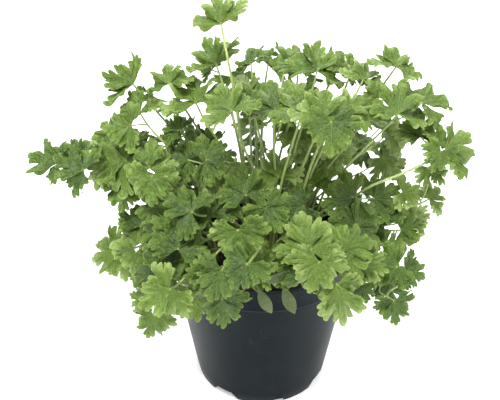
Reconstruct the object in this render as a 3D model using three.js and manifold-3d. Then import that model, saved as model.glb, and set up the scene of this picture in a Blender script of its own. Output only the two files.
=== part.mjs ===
import * as THREE from 'three';
import { mergeVertices } from 'three/addons/utils/BufferGeometryUtils.js';
import Module from 'manifold-3d';

const wasm = await Module();
wasm.setup();

// Pot: a standard 12 cm nursery pot, in mm, built with its foot on z = 0 and its axis on z
const potHeight = 98;
const rimRadius = 60;
const footRadius = 43.5;
const collarHeight = 15;
const collarStep = 1.1;
const collarSlope = 1;
const potWall = 1.5;
const rimBevel = { height: 1, outer: 0.4, inner: 0.2 };
const floorHeight = 6;
const floorThickness = 1.8;
const roundSides = 36;

// Drain notches in the foot ring, four large and four small, and a drain slot beside each large one
const notchCount = 4;
const largeNotch = { bottomAngle: 27, topAngle: 14, height: 5, firstAngle: -33 };
const smallNotch = { bottomAngle: 10, topAngle: 8, height: 2.6, firstAngle: 14 };
const drainSlot = { width: 9, length: 6, radius: 35 };
const notchDepth = 12;

// Cutters reach this far past what they cut
const overshoot = 1;

// Soil, its gap to the wall of the pot and the clearance that keeps the other pieces apart
const clearance = 0.3;
const soilGap = 0.35;
const soilTop = 88;
const soilCrown = 2;
const soilSlope = 1.5;
const holeDepth = 7;
const holeHeadroom = 6;

// Fronds: square stalks and thin blades, rooted within a circle of the soil
const petioleHalfWidth = { foot: 0.95, top: 0.62 };
const hubHalfWidth = 0.6;
const bladeThickness = 0.8;
const rootLimit = 44;

// A leaf of three leaflets: lengths as shares of its span, angles in degrees, the leaflets' slopes as
// least and most, and how far each of them strays from the rule either way
const leafForm = {
  spanScale: 1.22,
  stalk: 0.34,
  blade: 0.66,
  sideLeaflet: 0.92,
  sideAngle: 88,
  pitch: -6,
  roll: 20,
  stalkPitchShare: 0.5,
  fold: [0.16, 0.28],
  droop: [0.06, 0.2],
  stray: { angle: 5, length: 0.06, pitch: 8, roll: 5, edge: 0.04 },
};

// A petiole's curve: the height where it leaves the soil, how far its ends run straight as shares of
// its length, the places of its rings along it, the place of its first fork, and the steps back to the
// next ones. Its last stretch is the steeper, the higher the leaf stands above the rim.
const petioleForm = {
  emerges: 1,
  footPull: 0.35,
  hubPull: 0.3,
  rings: [0, 0.4, 0.72],
  lastRing: 0.9,
  firstFork: 0.9,
  forkStep: 0.09,
  forkWidth: 1.8,
  steepness: { height: 60, least: -0.7, most: 1.2, extra: 0.3 },
};
const branchForm = { pull: 0.35, ring: 0.5 };

// The eye that the fronds' places are read from: position in mm, pitch in degrees, focal length and
// picture centre in pixels
const eye = { x: -7.6, y: -305, z: 275, pitch: 26.5, focal: 560, centreX: 250, centreY: 200 };

const up = new THREE.Vector3(0, 0, 1);
const degrees = Math.PI / 180;
const sight = new THREE.Vector3(0, Math.cos(eye.pitch * degrees), -Math.sin(eye.pitch * degrees));
const sightUp = new THREE.Vector3(0, Math.sin(eye.pitch * degrees), Math.cos(eye.pitch * degrees));

// Solids and meshes

const weldDistance = 1e-4;

function weld(geometry) {
  const bare = geometry.clone();
  bare.deleteAttribute('normal');
  bare.deleteAttribute('uv');
  const merged = mergeVertices(bare, weldDistance);
  const kept = [];
  for (let i = 0; i < merged.index.count; i += 3) {
    const a = merged.index.getX(i);
    const b = merged.index.getX(i + 1);
    const c = merged.index.getX(i + 2);
    if (a !== b && b !== c && c !== a) {
      kept.push(a, b, c);
    }
  }
  merged.setIndex(kept);
  return merged;
}

function toSolid(geometry) {
  return new wasm.Manifold(new wasm.Mesh({
    numProp: 3,
    vertProperties: Float32Array.from(geometry.attributes.position.array),
    triVerts: Uint32Array.from(geometry.index.array),
  }));
}

function toGeometry(solid) {
  const mesh = solid.getMesh();
  const geometry = new THREE.BufferGeometry();
  geometry.setAttribute('position', new THREE.BufferAttribute(mesh.vertProperties, 3));
  geometry.setIndex(new THREE.BufferAttribute(mesh.triVerts, 1));
  return geometry;
}

// A solid of revolution about z from a profile of [radius, height] points
function turned(profile) {
  const points = profile.map(([radius, height]) => new THREE.Vector2(radius, height));
  const geometry = new THREE.LatheGeometry(points, roundSides);
  geometry.rotateX(Math.PI / 2);
  return toSolid(weld(geometry));
}

// Random numbers from 0 to 1 that a seed repeats
function random(seed) {
  let state = seed >>> 0;
  return () => {
    state = (state + 0x6d2b79f5) >>> 0;
    let mixed = Math.imul(state ^ (state >>> 15), state | 1);
    mixed ^= mixed + Math.imul(mixed ^ (mixed >>> 7), mixed | 61);
    return ((mixed ^ (mixed >>> 14)) >>> 0) / 4294967296;
  };
}

// Pot

const collarFoot = potHeight - collarHeight;
const wallSlope = (rimRadius - collarStep - footRadius) / potHeight;

function wallRadius(height) {
  return footRadius + wallSlope * height;
}

// A trapezoid cut radially through the foot ring, its angles measured from the front
function notchTool(notch, index) {
  const angle = (notch.firstAngle + index * 360 / notchCount - 90) * degrees;
  const halfBottom = footRadius * Math.tan(notch.bottomAngle / 2 * degrees);
  const halfTop = footRadius * Math.tan(notch.topAngle / 2 * degrees);
  const outline = new THREE.Shape();
  outline.moveTo(-halfBottom, -overshoot);
  outline.lineTo(halfBottom, -overshoot);
  outline.lineTo(halfBottom, 0);
  outline.lineTo(halfTop, notch.height);
  outline.lineTo(-halfTop, notch.height);
  outline.lineTo(-halfBottom, 0);
  const geometry = new THREE.ExtrudeGeometry(outline, { depth: notchDepth, bevelEnabled: false });
  geometry.translate(0, 0, -footRadius - notchDepth / 2);
  geometry.rotateX(Math.PI / 2);
  geometry.rotateZ(angle - Math.PI / 2);
  return toSolid(weld(geometry));
}

function slotTool(index) {
  const angle = (largeNotch.firstAngle + index * 360 / notchCount - 90) * degrees;
  const height = floorThickness + 2 * overshoot;
  const geometry = new THREE.BoxGeometry(drainSlot.length, drainSlot.width, height);
  geometry.translate(drainSlot.radius, 0, floorHeight + floorThickness / 2);
  geometry.rotateZ(angle);
  return toSolid(weld(geometry));
}

function makePot() {
  const floorTop = floorHeight + floorThickness;
  const inner = (height) => wallRadius(height) - potWall;
  let pot = turned([
    [0, floorHeight],
    [inner(floorHeight), floorHeight],
    [inner(0), 0],
    [wallRadius(0), 0],
    [wallRadius(collarFoot - collarSlope), collarFoot - collarSlope],
    [wallRadius(collarFoot) + collarStep, collarFoot],
    [rimRadius, potHeight - rimBevel.height],
    [rimRadius - rimBevel.outer, potHeight],
    [rimRadius - potWall + rimBevel.inner, potHeight],
    [rimRadius - potWall - rimBevel.inner, potHeight - rimBevel.height],
    [inner(collarFoot) + collarStep, collarFoot + collarSlope],
    [inner(collarFoot), collarFoot - collarSlope],
    [inner(floorTop), floorTop],
    [0, floorTop],
  ]);
  for (let index = 0; index < notchCount; index += 1) {
    pot = pot.subtract(notchTool(largeNotch, index));
    pot = pot.subtract(notchTool(smallNotch, index));
    pot = pot.subtract(slotTool(index));
  }
  return pot;
}

// Soil

function makeSoil() {
  const bottom = floorHeight + floorThickness + clearance;
  const inner = (height) => wallRadius(height) - potWall - soilGap;
  return turned([
    [0, bottom],
    [inner(bottom), bottom],
    [inner(collarFoot - collarSlope), collarFoot - collarSlope],
    [inner(collarFoot) + collarStep, collarFoot + soilSlope],
    [inner(soilTop) + collarStep, soilTop],
    [0, soilTop + soilCrown],
  ]);
}

function soilHeight(radius) {
  return soilTop + soilCrown * Math.max(0, 1 - radius / rimRadius);
}

// A frond's surface is gathered here: points, and triangles that share them

class Surface {
  constructor() {
    this.points = [];
    this.faces = [];
  }

  add(point) {
    this.points.push(point);
    return this.points.length - 1;
  }

  triangle(a, b, c) {
    this.faces.push(a, b, c);
  }

  quad(a, b, c, d) {
    this.faces.push(a, b, c, a, c, d);
  }

  centre(ring) {
    const middle = new THREE.Vector3();
    ring.forEach((index) => middle.addScaledVector(this.points[index], 1 / ring.length));
    return middle;
  }

  geometry() {
    const geometry = new THREE.BufferGeometry();
    const numbers = this.points.flatMap((point) => [point.x, point.y, point.z]);
    geometry.setAttribute('position', new THREE.Float32BufferAttribute(numbers, 3));
    geometry.setIndex(this.faces);
    return geometry;
  }
}

const corners = [[1, 1], [-1, 1], [-1, -1], [1, -1]];

// The four sides of a stalk between two square rings, less the side that a branch leaves by
function wrap(surface, lower, upper, openSide = -1) {
  for (let side = 0; side < 4; side += 1) {
    const next = (side + 1) % 4;
    if (side !== openSide) {
      surface.quad(lower[side], lower[next], upper[next], upper[side]);
    }
  }
}

// The ring's corners turned so that they lie nearest to those of the other ring
function matched(surface, ring, other) {
  const turns = [0, 1, 2, 3].map((turn) => ring.map((_, i) => ring[(i + turn) % 4]));
  const apart = (turn) => turn.reduce(
    (sum, index, i) => sum + surface.points[index].distanceTo(surface.points[other[i]]), 0);
  return turns.reduce((best, turn) => (apart(turn) < apart(best) ? turn : best));
}

// Square rings along a curve, carried back without twist from the frame at its end
function stalkFrames(curve, places, endA, endB, endTangent) {
  const frames = [];
  const a = endA.clone();
  const b = endB.clone();
  let tangent = endTangent.clone();
  for (let i = places.length - 1; i >= 0; i -= 1) {
    const here = curve.getTangent(places[i]);
    const turn = new THREE.Quaternion().setFromUnitVectors(tangent, here);
    a.applyQuaternion(turn);
    b.applyQuaternion(turn);
    tangent = here;
    frames.unshift({ centre: curve.getPoint(places[i]), a: a.clone(), b: b.clone() });
  }
  return frames;
}

function squareRing(surface, frame, halfWidth) {
  return corners.map(([i, j]) => surface.add(frame.centre.clone()
    .addScaledVector(frame.a, i * halfWidth)
    .addScaledVector(frame.b, j * halfWidth)));
}

// Outlines as [angle, reach] about the blade's base, from right to left: the angle as a share of the
// half-angle, the reach as a share of the full one. A parsley leaflet has three blunt lobes with a cut
// between them, a seed leaf is oblong and entire.
const outlines = {
  lobed: {
    halfAngle: 70,
    points: [
      [-1, 0.68], [-0.71, 0.96], [-0.48, 0.66],
      [-0.26, 0.95], [0, 1], [0.26, 0.95],
      [0.48, 0.66], [0.71, 0.96], [1, 0.68],
    ],
  },
  oblong: {
    halfAngle: 34,
    points: [[-1, 0.34], [-0.65, 0.66], [-0.32, 0.92], [0, 1], [0.32, 0.92], [0.65, 0.66], [1, 0.34]],
  },
};

// One leaflet: a wedge from an open quad, widening into a fan. Both faces are split into the same
// triangles about the blade's base, so they never cross.
function growFan(surface, mouth, fan) {
  const { base, forward, left, normal } = fan;
  const half = bladeThickness / 2;
  const middle = surface.centre(mouth);
  const reachOut = left.clone().add(normal);
  const outward = (index) => surface.points[index].clone().sub(middle).dot(reachOut);
  const first = mouth.reduce((best, index, i) => (outward(index) > outward(mouth[best]) ? i : best), 0);
  const [topLeft, topRight, bottomRight, bottomLeft] = mouth.map((_, i) => mouth[(first + i) % 4]);

  const place = (along, across, height) => base.clone()
    .addScaledVector(forward, along)
    .addScaledVector(left, across)
    .addScaledVector(normal, height);
  const topRing = [topRight];
  const bottomRing = [bottomRight];
  fan.outline.forEach(([angle, reach]) => {
    const along = reach * Math.cos(angle);
    const across = reach * Math.sin(angle);
    const height = fan.fold * Math.abs(across) - fan.droop * reach * reach / fan.reach;
    topRing.push(surface.add(place(along, across, height + half)));
    bottomRing.push(surface.add(place(along, across, height - half)));
  });
  topRing.push(topLeft);
  bottomRing.push(bottomLeft);

  const topBase = surface.add(place(0, 0, half));
  const bottomBase = surface.add(place(0, 0, -half));
  for (let i = 0; i < topRing.length; i += 1) {
    const next = (i + 1) % topRing.length;
    surface.triangle(topBase, topRing[i], topRing[next]);
    surface.triangle(bottomBase, bottomRing[next], bottomRing[i]);
    if (next > 0) {
      surface.quad(topRing[i], bottomRing[i], bottomRing[next], topRing[next]);
    }
  }
}

// The three leaflets of a leaf, in the leaf's own frame of forward, left and normal
function leafFans(leaf, draw) {
  const strays = (amount) => amount * (2 * draw() - 1);
  const shape = outlines[leaf.style];
  const fans = [];
  [0, 1, -1].forEach((side) => {
    const angle = (side * leaf.sideAngle + strays(leafForm.stray.angle)) * degrees;
    const span = leaf.span * (side === 0 ? 1 : leafForm.sideLeaflet * leaf.sideShare);
    const reach = leafForm.blade * span * (1 + strays(leafForm.stray.length));
    const direction = leaf.forward.clone().multiplyScalar(Math.cos(angle))
      .addScaledVector(leaf.left, Math.sin(angle));
    const across = new THREE.Vector3().crossVectors(leaf.normal, direction).normalize();
    const pitch = (leaf.pitch + strays(leafForm.stray.pitch)) * degrees;
    const forward = direction.clone().applyAxisAngle(across, -pitch);
    const roll = (side * leafForm.roll + strays(leafForm.stray.roll)) * degrees;
    const left = across.clone().applyAxisAngle(forward, roll);
    const normal = new THREE.Vector3().crossVectors(forward, left);
    const stalkWay = direction.clone().applyAxisAngle(across, -leafForm.stalkPitchShare * pitch);
    const mouthWay = side === 0 ? leaf.forward.clone() : leaf.left.clone().multiplyScalar(side);
    const base = leaf.hub.clone()
      .addScaledVector(mouthWay, hubHalfWidth)
      .addScaledVector(stalkWay, leafForm.stalk * span);
    fans.push({
      side,
      base,
      forward,
      left,
      normal,
      reach,
      fold: THREE.MathUtils.lerp(...leafForm.fold, draw()),
      droop: THREE.MathUtils.lerp(...leafForm.droop, draw()),
      outline: shape.points.map(([angle, share]) => [
        angle * leaf.width * shape.halfAngle * degrees,
        reach * share * (1 + strays(leafForm.stray.edge)),
      ]),
    });
  });
  return fans;
}

// The small cube where a leaf's stalks meet, in the leaf's frame. Its faces are quads that run
// counter-clockwise seen from outside.
function hubCube(surface, leaf) {
  const index = {};
  for (const i of [1, -1]) {
    for (const j of [1, -1]) {
      for (const k of [1, -1]) {
        index[`${i}${j}${k}`] = surface.add(leaf.hub.clone()
          .addScaledVector(leaf.forward, i * hubHalfWidth)
          .addScaledVector(leaf.left, j * hubHalfWidth)
          .addScaledVector(leaf.normal, k * hubHalfWidth));
      }
    }
  }
  const face = (...keys) => keys.map((key) => index[key]);
  return {
    front: face('111', '1-11', '1-1-1', '11-1'),
    back: face('-1-11', '-111', '-11-1', '-1-1-1'),
    left: face('-111', '111', '11-1', '-11-1'),
    right: face('1-11', '-1-11', '-1-1-1', '1-1-1'),
    top: face('111', '-111', '-1-11', '1-11'),
    bottom: face('-11-1', '11-1', '1-1-1', '-1-1-1'),
  };
}

function crossesItself(surface) {
  const { points, faces } = surface;
  const triangles = [];
  for (let i = 0; i < faces.length; i += 3) {
    const ids = faces.slice(i, i + 3);
    const triangle = new THREE.Triangle(...ids.map((id) => points[id]));
    triangles.push({ ids, triangle, box: new THREE.Box3().setFromPoints(ids.map((id) => points[id])) });
  }
  const ray = new THREE.Ray();
  const hit = new THREE.Vector3();
  const pierces = (one, other) => [0, 1, 2].some((i) => {
    const start = points[one.ids[i]];
    const end = points[one.ids[(i + 1) % 3]];
    ray.origin.copy(start);
    ray.direction.subVectors(end, start).normalize();
    const { a, b, c } = other.triangle;
    return ray.intersectTriangle(a, b, c, false, hit) && hit.distanceTo(start) <= end.distanceTo(start);
  });
  return triangles.some((one, i) => triangles.slice(i + 1).some((other) => (
    one.box.intersectsBox(other.box)
    && !one.ids.some((id) => other.ids.includes(id))
    && (pierces(one, other) || pierces(other, one))
  )));
}

// Leaves turn their faces from the front by this share of their own azimuth, growing towards the back,
// and no face is read as nearer to edge-on than this
const faceShare = 0.2;
const leastFacing = 0.2;

// A leaf's place and frame from its row: where its hub is seen, how deep it lies, the way its middle
// leaflet points in the picture, and how far its face leans from level
function leafFrame(row, shift, swing) {
  const ray = sight.clone()
    .addScaledVector(sightUp, (eye.centreY - row.py) / eye.focal)
    .add(new THREE.Vector3((row.px - eye.centreX) / eye.focal, 0, 0));
  const hub = new THREE.Vector3(eye.x, eye.y, eye.z)
    .addScaledVector(ray, (row.depth + shift - eye.y) / ray.y);
  const azimuth = Math.atan2(hub.x, -hub.y);
  const facing = faceShare * azimuth * Math.abs(azimuth) / (Math.PI / 2);
  const outward = new THREE.Vector3(Math.sin(facing), -Math.cos(facing), 0);
  const lean = (row.lean + swing()) * degrees;
  const tip = (row.tip + swing()) * degrees;
  const normal = up.clone().multiplyScalar(Math.cos(lean)).addScaledVector(outward, Math.sin(lean));
  const seen = new THREE.Vector3(Math.cos(tip), 0, 0).addScaledVector(sightUp, Math.sin(tip));
  const forward = seen.addScaledVector(ray, -seen.dot(normal) / Math.min(ray.dot(normal), -leastFacing));
  forward.addScaledVector(normal, -forward.dot(normal)).normalize();
  const left = new THREE.Vector3().crossVectors(normal, forward);
  return {
    hub,
    forward,
    left,
    normal,
    span: leafForm.spanScale * row.span,
    style: row.style ?? 'lobed',
    sides: row.sides ?? [0, 1, -1],
    sideAngle: row.sideAngle ?? leafForm.sideAngle,
    sideShare: row.sideShare ?? 1,
    width: row.width ?? 1,
    pitch: row.pitch ?? leafForm.pitch,
  };
}

// The way a stalk comes into a leaf's hub: through its back or from below
function entry(leaf, arriving) {
  const below = arriving.dot(leaf.normal) > arriving.dot(leaf.forward);
  return { face: below ? 'bottom' : 'back', way: below ? leaf.normal : leaf.forward };
}

// The hub and its leaflets at the end of a stalk, with the ring that the stalk ends in
function growLeaf(surface, leaf, door) {
  const cube = hubCube(surface, leaf);
  const mouths = { 0: 'front', 1: 'left', '-1': 'right' };
  const open = [door.face];
  leafFans(leaf, random(leaf.seed)).filter((fan) => leaf.sides.includes(fan.side)).forEach((fan) => {
    growFan(surface, cube[mouths[fan.side]], fan);
    open.push(mouths[fan.side]);
  });
  Object.keys(cube).filter((name) => !open.includes(name)).forEach((name) => {
    surface.quad(...cube[name]);
  });
  return [...cube[door.face]].reverse();
}

// Square rings of a stalk along its curve, up to the ring that it ends in
function stalkRings(surface, curve, places, endRing, widths) {
  const [corner, besideA, , besideB] = endRing.map((index) => surface.points[index]);
  const a = corner.clone().sub(besideA).normalize();
  const b = corner.clone().sub(besideB).normalize();
  const frames = stalkFrames(curve, places, a, b, new THREE.Vector3().crossVectors(a, b));
  const rings = frames.map((frame, i) => (
    squareRing(surface, frame, THREE.MathUtils.lerp(widths.foot, widths.top, places[i]))));
  return { frames, rings };
}

function growFrond(leaves, root, arch) {
  const surface = new Surface();
  const [main, ...sides] = leaves;
  const start = new THREE.Vector3(root.x, root.y, soilHeight(root.length()) + petioleForm.emerges);
  const outward = new THREE.Vector3(main.hub.x, main.hub.y, 0);
  const reach = outward.length();
  const { height, least, most, extra } = petioleForm.steepness;
  const rise = extra + THREE.MathUtils.clamp((main.hub.z - potHeight) / height, least, most);
  const arriving = outward.clone().normalize().multiplyScalar(Math.min(reach / rimRadius, 1))
    .add(new THREE.Vector3(0, 0, rise)).normalize();
  const door = entry(main, arriving);
  const length = start.distanceTo(main.hub);
  const inward = arriving.clone().add(door.way).normalize();
  const end = main.hub.clone().addScaledVector(door.way, -hubHalfWidth);
  const curve = new THREE.CubicBezierCurve3(
    start,
    start.clone().addScaledVector(up, petioleForm.footPull * length + arch),
    end.clone().addScaledVector(inward, -petioleForm.hubPull * length),
    end);

  const forkGap = petioleForm.forkWidth / curve.getLength();
  const places = [...petioleForm.rings];
  const forks = sides.map((leaf, i) => leaf.fork ?? petioleForm.firstFork - petioleForm.forkStep * i);
  forks.forEach((fork) => places.push(fork, fork + forkGap));
  if (forks.length === 0) {
    places.push(petioleForm.lastRing);
  }
  places.sort((one, other) => one - other);
  const endRing = growLeaf(surface, main, door);
  const { frames, rings } = stalkRings(surface, curve, places, endRing, petioleHalfWidth);
  const sunk = petioleForm.emerges + holeDepth;
  const footFrame = { ...frames[0], centre: frames[0].centre.clone().addScaledVector(up, -sunk) };
  const foot = squareRing(surface, footFrame, petioleHalfWidth.foot);
  surface.quad(...[...foot].reverse());
  wrap(surface, foot, rings[0]);
  rings.push(endRing);

  for (let i = 0; i + 1 < rings.length; i += 1) {
    const branch = forks.indexOf(places[i]);
    let openSide = -1;
    if (branch >= 0) {
      const towards = sides[branch].hub.clone().sub(frames[i].centre).normalize();
      const { a, b } = frames[i];
      const ways = [b, a.clone().negate(), b.clone().negate(), a];
      openSide = ways.reduce((best, way, k) => (way.dot(towards) > ways[best].dot(towards) ? k : best), 0);
      const [lower, upper] = [rings[i], rings[i + 1]];
      const next = (openSide + 1) % 4;
      const mouth = [lower[openSide], lower[next], upper[next], upper[openSide]];
      growBranch(surface, sides[branch], mouth, ways[openSide], curve.getTangent(places[i]));
    }
    wrap(surface, rings[i], rings[i + 1], openSide);
  }
  return { surface, footFrame };
}

// A side leaf's stalk, from an open side of the main one
function growBranch(surface, leaf, mouth, mouthWay, along) {
  const start = surface.centre(mouth);
  const direct = leaf.hub.clone().sub(start);
  const length = direct.length();
  const door = entry(leaf, direct);
  const leaving = mouthWay.clone().add(along).normalize();
  const inward = direct.clone().normalize().add(door.way).normalize();
  const end = leaf.hub.clone().addScaledVector(door.way, -hubHalfWidth);
  const curve = new THREE.CubicBezierCurve3(
    start,
    start.clone().addScaledVector(leaving, branchForm.pull * length),
    end.clone().addScaledVector(inward, -branchForm.pull * length),
    end);
  const endRing = growLeaf(surface, leaf, door);
  const widths = { foot: petioleHalfWidth.top, top: hubHalfWidth };
  const { rings } = stalkRings(surface, curve, [branchForm.ring], endRing, widths);
  const first = matched(surface, mouth, rings[0]);
  [first, ...rings].forEach((ring, i) => {
    wrap(surface, ring, rings[i] ?? endRing);
  });
}

// The fronds, a row for each leaf: px and py give the pixel where its hub is seen, depth its y in mm,
// tip the way its middle leaflet points in the picture and lean how far its face leans from level, in
// degrees, and span its reach from hub to tip in mm. The first leaf of a frond ends its petiole, and
// fork is where a side leaf's stalk leaves it. Where the photographed leaf is narrower, the row says so
// with the side leaflets' angle and share of length, and the width and pitch of all three.
const frondRows = [
  // the tallest
  [{ px: 221, py: 24, depth: 4, tip: 97, lean: 50, span: 17, sideAngle: 58, width: 0.7, pitch: 4 }],
  // front, low
  [{ px: 337, py: 284, depth: -70, tip: 276, lean: 74, span: 20, sideShare: 0.62 },
    { px: 319, py: 262, depth: -70, tip: 256, lean: 62, span: 14, fork: 0.74 }],
  [{ px: 238, py: 230, depth: -62, tip: 275, lean: 60, span: 14 }],
  [{ px: 309, py: 249, depth: -64, tip: 95, lean: 52, span: 18 },
    { px: 299, py: 262, depth: -68, tip: 205, lean: 62, span: 16 }],
  [{ px: 187, py: 288, depth: -62, tip: 285, lean: 74, span: 17 },
    { px: 179, py: 279, depth: -58, tip: 95, lean: 50, span: 15 }],
  [{ px: 170, py: 289, depth: -50, tip: 205, lean: 60, span: 17 },
    { px: 155, py: 316, depth: -44, tip: 262, lean: 70, span: 13, fork: 0.86 },
    { px: 147, py: 300, depth: -36, tip: 165, lean: 58, span: 9, fork: 0.66 }],
  [{ px: 222, py: 299, depth: -77, tip: 275, lean: 78, span: 13 }],
  [{ px: 222, py: 270, depth: -62, tip: 250, lean: 58, span: 14 }],
  [{ px: 247, py: 264, depth: -66, tip: 240, lean: 60, span: 13 },
    { px: 263, py: 265, depth: -70, tip: 285, lean: 66, span: 10 }],
  [{ px: 343, py: 250, depth: -54, tip: 25, lean: 42, span: 16 },
    { px: 361, py: 263, depth: -50, tip: 345, lean: 52, span: 13 }],
  [{ px: 360, py: 284, depth: -46, tip: 200, lean: 56, span: 11 }],
  [{ px: 178, py: 249, depth: -46, tip: 75, lean: 48, span: 15 }],
  [{ px: 157, py: 268, depth: -34, tip: 225, lean: 60, span: 15 }],
  // left
  [{ px: 119, py: 252, depth: -10, tip: 200, lean: 56, span: 17 },
    { px: 140, py: 243, depth: -20, tip: 95, lean: 48, span: 18 },
    { px: 136, py: 252, depth: -24, tip: 265, lean: 66, span: 13 }],
  [{ px: 58, py: 163, depth: 2, tip: 170, lean: 44, span: 18, sideShare: 0.75 },
    { px: 84, py: 170, depth: -4, tip: 160, lean: 48, span: 18, sideShare: 0.85 },
    { px: 79, py: 157, depth: 10, tip: 115, lean: 52, span: 12 }],
  [{ px: 126, py: 160, depth: -6, tip: 185, lean: 50, span: 21 },
    { px: 128, py: 154, depth: 6, tip: 60, lean: 44, span: 14 }],
  [{ px: 125, py: 185, depth: 0, tip: 265, lean: 46, span: 14 },
    { px: 94, py: 174, depth: 14, tip: 250, lean: 40, span: 9 }],
  [{ px: 150, py: 168, depth: -16, tip: 88, lean: 56, span: 14 },
    { px: 152, py: 176, depth: -22, tip: 268, lean: 58, span: 14 }],
  [{ px: 140, py: 113, depth: 8, tip: 110, lean: 46, span: 15 },
    { px: 131, py: 126, depth: 4, tip: 190, lean: 50, span: 15 }],
  [{ px: 133, py: 84, depth: 18, tip: 158, lean: 46, span: 20, sideAngle: 52, width: 0.65, pitch: 2 },
    { px: 140, py: 99, depth: 22, tip: 95, lean: 48, span: 10 }],
  [{ px: 165, py: 205, depth: -20, tip: 195, lean: 44, span: 15 },
    { px: 163, py: 226, depth: -26, tip: 215, lean: 52, span: 13 }],
  [{ px: 192, py: 212, depth: -26, tip: 150, lean: 44, span: 16 }],
  [{ px: 98, py: 146, depth: 24, tip: 120, lean: 36, span: 10 },
    { px: 113, py: 134, depth: 22, tip: 140, lean: 44, span: 13 }],
  // top
  [{ px: 169, py: 84, depth: 18, tip: 95, lean: 34, span: 14 }],
  [{ px: 196, py: 103, depth: 6, tip: 100, lean: 30, span: 20 }],
  [{ px: 216, py: 64, depth: 22, tip: 112, lean: 50, span: 18, sideAngle: 64, width: 0.75, pitch: 4 },
    { px: 212, py: 70, depth: 28, tip: 165, lean: 40, span: 9 }],
  [{ px: 251, py: 64, depth: 38, tip: 100, lean: 40, span: 15 }],
  [{ px: 268, py: 65, depth: 56, tip: 60, lean: 38, span: 15 }],
  [{ px: 298, py: 71, depth: 36, tip: 100, lean: 42, span: 18 }],
  [{ px: 285, py: 60, depth: 62, tip: 90, lean: 36, span: 14 }],
  [{ px: 317, py: 71, depth: 26, tip: 85, lean: 46, span: 18 }],
  [{ px: 336, py: 68, depth: 48, tip: 70, lean: 42, span: 15 }],
  [{ px: 350, py: 75, depth: 32, tip: 85, lean: 42, span: 16 }],
  [{ px: 363, py: 80, depth: 20, tip: 75, lean: 44, span: 14 }],
  [{ px: 396, py: 67, depth: 18, tip: 85, lean: 40, span: 16 },
    { px: 379, py: 98, depth: 14, tip: 115, lean: 56, span: 11 }],
  // upper middle
  [{ px: 232, py: 111, depth: -18, tip: 120, lean: 36, span: 16 }],
  [{ px: 252, py: 106, depth: -10, tip: 60, lean: 36, span: 15 }],
  [{ px: 275, py: 110, depth: -12, tip: 100, lean: 38, span: 17 }],
  [{ px: 302, py: 113, depth: -18, tip: 105, lean: 38, span: 17 }],
  [{ px: 324, py: 118, depth: -20, tip: 90, lean: 42, span: 18 },
    { px: 346, py: 113, depth: -8, tip: 50, lean: 38, span: 15 }],
  [{ px: 331, py: 122, depth: -34, tip: 275, lean: 46, span: 15 }],
  [{ px: 199, py: 151, depth: 8, tip: 108, lean: 58, span: 20 },
    { px: 180, py: 130, depth: 14, tip: 150, lean: 40, span: 12 }],
  [{ px: 206, py: 160, depth: -10, tip: 10, lean: 46, span: 15 },
    { px: 188, py: 160, depth: -4, tip: 180, lean: 44, span: 14 }],
  [{ px: 165, py: 142, depth: 16, tip: 60, lean: 40, span: 12 },
    { px: 143, py: 148, depth: 16, tip: 110, lean: 42, span: 12 }],
  [{ px: 246, py: 195, depth: -40, tip: 95, lean: 50, span: 17 }],
  [{ px: 353, py: 197, depth: -16, tip: 190, lean: 46, span: 16 },
    { px: 374, py: 198, depth: -8, tip: 20, lean: 46, span: 15 }],
  [{ px: 352, py: 243, depth: -34, tip: 95, lean: 50, span: 16 }],
  // right
  [{ px: 398, py: 114, depth: 0, tip: 85, lean: 38, span: 18 },
    { px: 422, py: 103, depth: 8, tip: 10, lean: 24, span: 17 }],
  [{ px: 446, py: 149, depth: -4, tip: 38, lean: 48, span: 19 },
    { px: 421, py: 137, depth: 2, tip: 92, lean: 50, span: 16 },
    { px: 441, py: 151, depth: -12, tip: 255, lean: 68, span: 11 }],
  [{ px: 429, py: 199, depth: 2, tip: 40, lean: 40, span: 11 },
    { px: 430, py: 168, depth: 10, tip: 318, lean: 46, span: 12 },
    { px: 402, py: 192, depth: 12, tip: 345, lean: 50, span: 12 }],
  [{ px: 401, py: 230, depth: -6, tip: 5, lean: 64, span: 14 },
    { px: 384, py: 247, depth: -18, tip: 10, lean: 58, span: 13 }],
  [{ px: 394, py: 301, depth: -18, tip: 275, lean: 76, span: 14 },
    { px: 405, py: 270, depth: -12, tip: 335, lean: 64, span: 13 },
    { px: 397, py: 266, depth: -20, tip: 205, lean: 62, span: 14 }],
  // back
  [{ px: 186, py: 186, depth: 30, tip: 180, lean: 30, span: 17 }],
  [{ px: 256, py: 130, depth: 58, tip: 170, lean: 20, span: 15 }],
  [{ px: 300, py: 140, depth: 50, tip: 120, lean: 24, span: 15 },
    { px: 312, py: 160, depth: 44, tip: 250, lean: 30, span: 14 }],
  [{ px: 365, py: 150, depth: 56, tip: 150, lean: 30, span: 17 },
    { px: 384, py: 162, depth: 40, tip: 20, lean: 36, span: 15 }],
  [{ px: 380, py: 128, depth: 66, tip: 30, lean: 26, span: 14 }],
];

// The seedling at the front: two hubs that carry its oblong leaves
const seedlingRows = [
  { px: 256, py: 283, depth: -69, tip: 290, lean: 82, span: 17, style: 'oblong', sides: [0, 1] },
  { px: 281, py: 281, depth: -71, tip: 287, lean: 82, span: 18, style: 'oblong', sides: [0] },
];

// Spots for roots on the soil, evenly spread by the golden angle
const rootCount = 96;
const rootSpots = Array.from({ length: rootCount }, (_, i) => {
  const radius = rootLimit * Math.sqrt((i + 0.5) / rootCount);
  const angle = i * Math.PI * (3 - Math.sqrt(5));
  return new THREE.Vector2(radius * Math.cos(angle), radius * Math.sin(angle));
});

function clearOf(solid, others) {
  const box = solid.boundingBox();
  return others.every((other) => {
    const apart = [0, 1, 2].some((axis) => (
      box.min[axis] - clearance > other.box.max[axis] || box.max[axis] + clearance < other.box.min[axis]));
    return apart || solid.minGap(other.solid, 2 * clearance) >= clearance;
  });
}

// Leaves and stalks stay this far above the soil, but for a stalk's own foot
const soilRoom = 1;
const footRoom = 3;

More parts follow.
